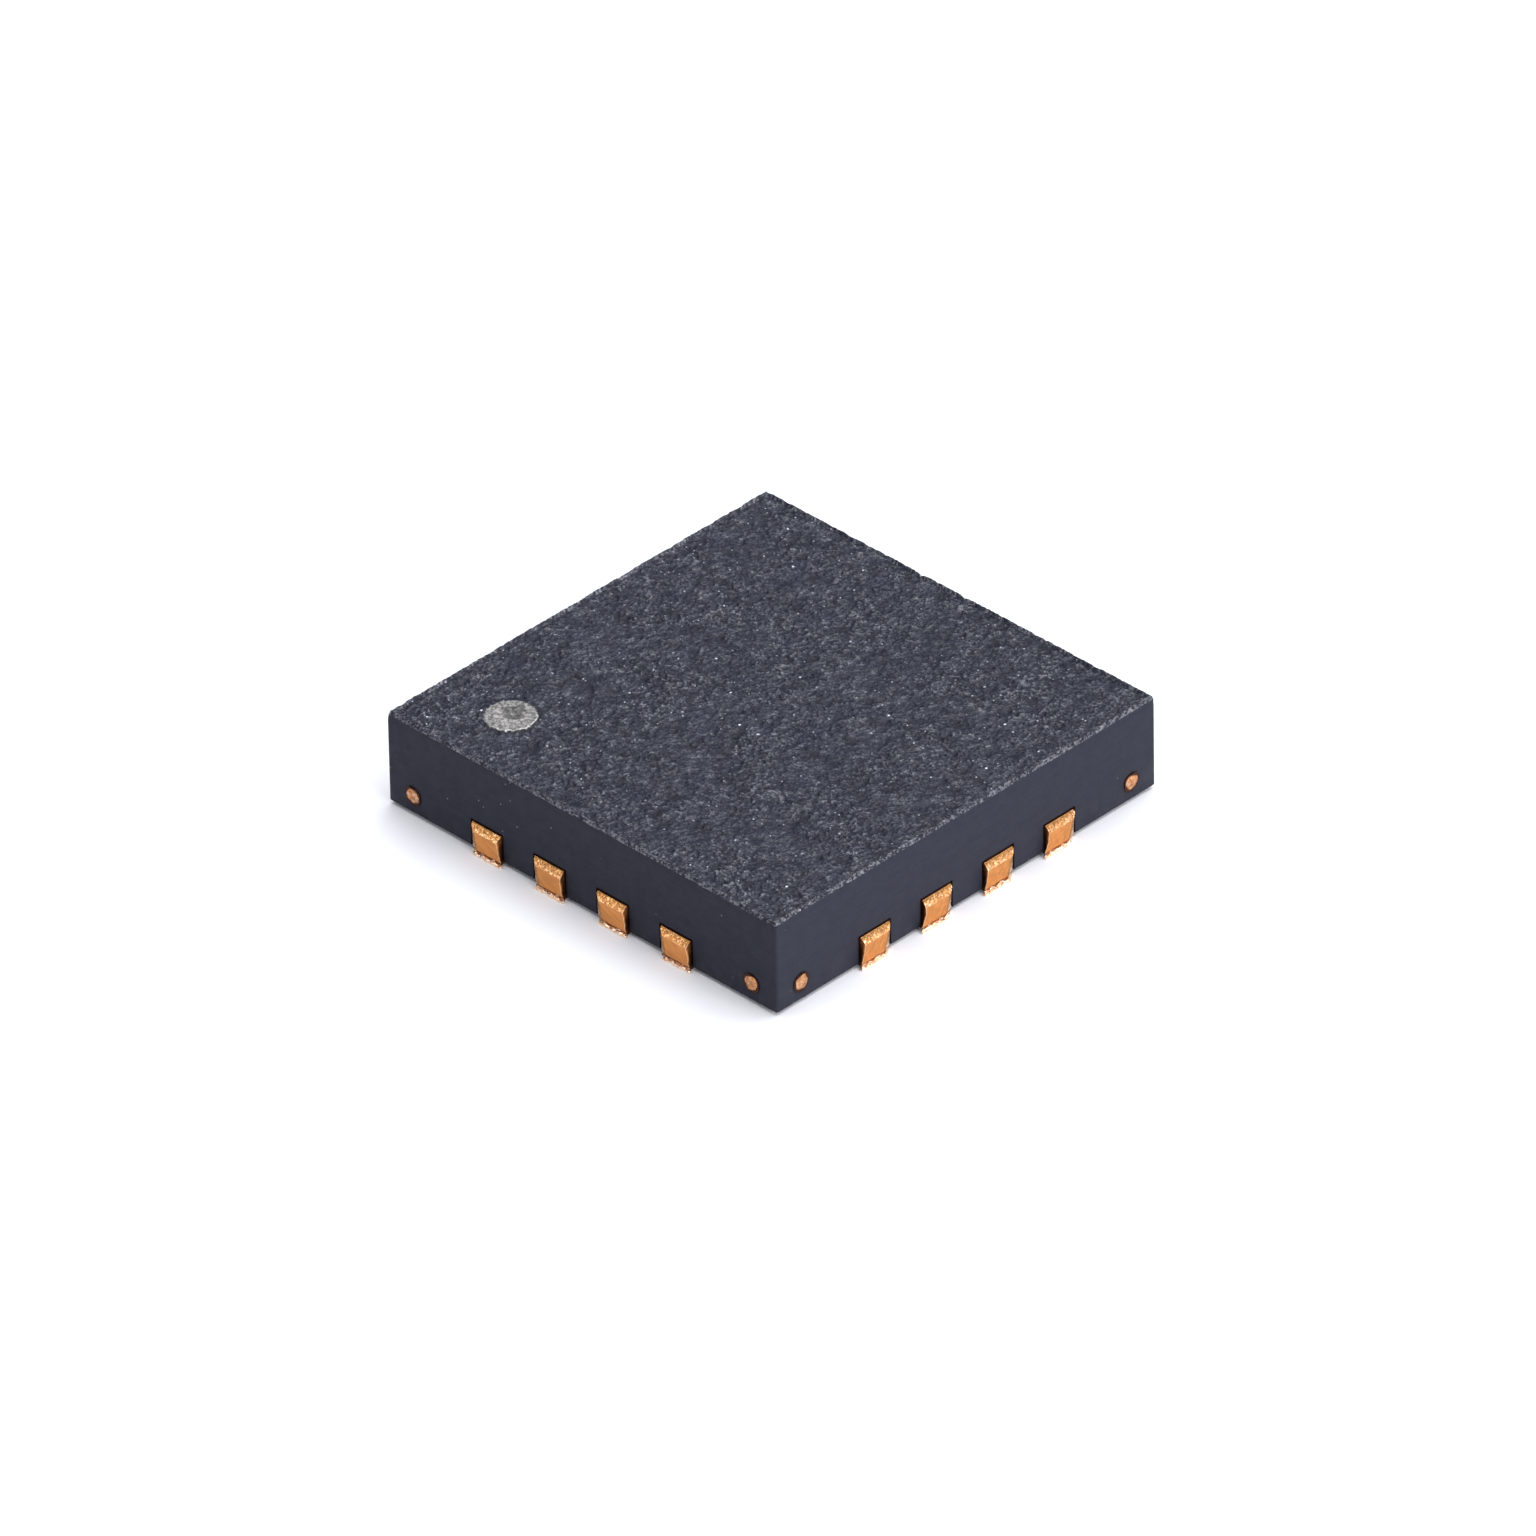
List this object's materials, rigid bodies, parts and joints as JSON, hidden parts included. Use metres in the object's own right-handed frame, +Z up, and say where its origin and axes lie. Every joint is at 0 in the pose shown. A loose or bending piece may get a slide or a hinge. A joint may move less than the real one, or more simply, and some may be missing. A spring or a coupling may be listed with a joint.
{
  "type": "qfn chip",
  "caption": "Square leadless chip package: dark moulded block with sawn copper leads along its lower edges, an exposed thermal pad below and a wire-bonded die inside.",
  "frame": {"origin": "middle of the package on the plane of the board it is soldered to", "axes": "+Z up from the board through the marked top; the first lead is at the -X +Y corner, and the leads count anticlockwise seen from above"},
  "size_m": [0.0042, 0.0042, 0.0008],
  "materials": {
    "mould_compound": "matte",
    "copper": "satin",
    "silver_epoxy": "satin",
    "silicon": "polished",
    "gold": "polished"
  },
  "bodies": {
    "root": {"mould_body": "mould_compound", "die_paddle": "copper", "die_attach": "silver_epoxy", "silicon_die": "silicon", "lead_01": "copper", "lead_02": "copper", "lead_03": "copper", "lead_04": "copper", "lead_05": "copper", "lead_06": "copper", "lead_07": "copper", "lead_08": "copper", "lead_09": "copper", "lead_10": "copper", "lead_11": "copper", "lead_12": "copper", "lead_13": "copper", "lead_14": "copper", "lead_15": "copper", "lead_16": "copper", "bond_wire_01": "gold", "bond_wire_02": "gold", "bond_wire_03": "gold", "bond_wire_04": "gold", "bond_wire_05": "gold", "bond_wire_06": "gold", "bond_wire_07": "gold", "bond_wire_08": "gold", "bond_wire_09": "gold", "bond_wire_10": "gold", "bond_wire_11": "gold", "bond_wire_12": "gold", "bond_wire_13": "gold", "bond_wire_14": "gold", "bond_wire_15": "gold", "bond_wire_16": "gold"}
  },
  "joints": []
}
